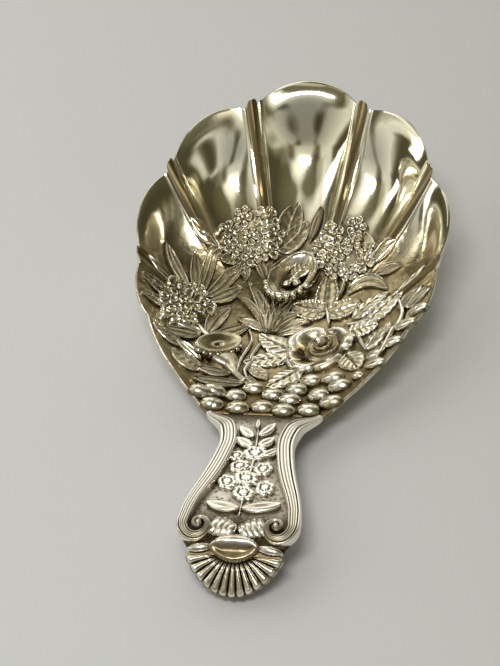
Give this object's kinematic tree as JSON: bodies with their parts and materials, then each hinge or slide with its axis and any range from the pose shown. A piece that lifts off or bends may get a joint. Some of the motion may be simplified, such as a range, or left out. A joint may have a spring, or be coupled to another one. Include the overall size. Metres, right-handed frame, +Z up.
{
  "type": "caddy spoon",
  "caption": "Short silver tea-caddy spoon: fluted scallop bowl dressed with cast flowers, a berry heel and a waisted scroll handle ending in a fan shell.",
  "frame": {"origin": "middle of the bounding box at its bottom, where the bowl rests on the table", "axes": "+Y from the handle to the far end of the bowl, +X to the right seen from the handle, +Z up"},
  "size_m": [0.0482, 0.093, 0.0217],
  "materials": {
    "bowl_silver": "polished silver with a worn warm wash",
    "handle_silver": "polished silver, worn bright on the high spots",
    "matted_silver": "matted silver ground with dark patina"
  },
  "bodies": {
    "root": {"bowl": "bowl_silver", "bead_border": "bowl_silver", "rose": "bowl_silver", "bell_flower": "bowl_silver", "trefoil_leaf": "bowl_silver", "rose_leaves_left": "bowl_silver", "rose_leaves_right": "bowl_silver", "upper_right_posy": "bowl_silver", "upper_left_posy": "bowl_silver", "centre_leaves": "bowl_silver", "daisy_posy": "bowl_silver", "trumpet_flower": "bowl_silver", "lower_left_leaves": "bowl_silver", "right_leaf_spray": "bowl_silver", "handle": "matted_silver", "left_scroll_border": "handle_silver", "right_scroll_border": "handle_silver", "left_acanthus_leaf": "handle_silver", "right_acanthus_leaf": "handle_silver", "handle_spray": "handle_silver", "cartouche": "handle_silver", "terminal_shell": "handle_silver"}
  },
  "joints": []
}
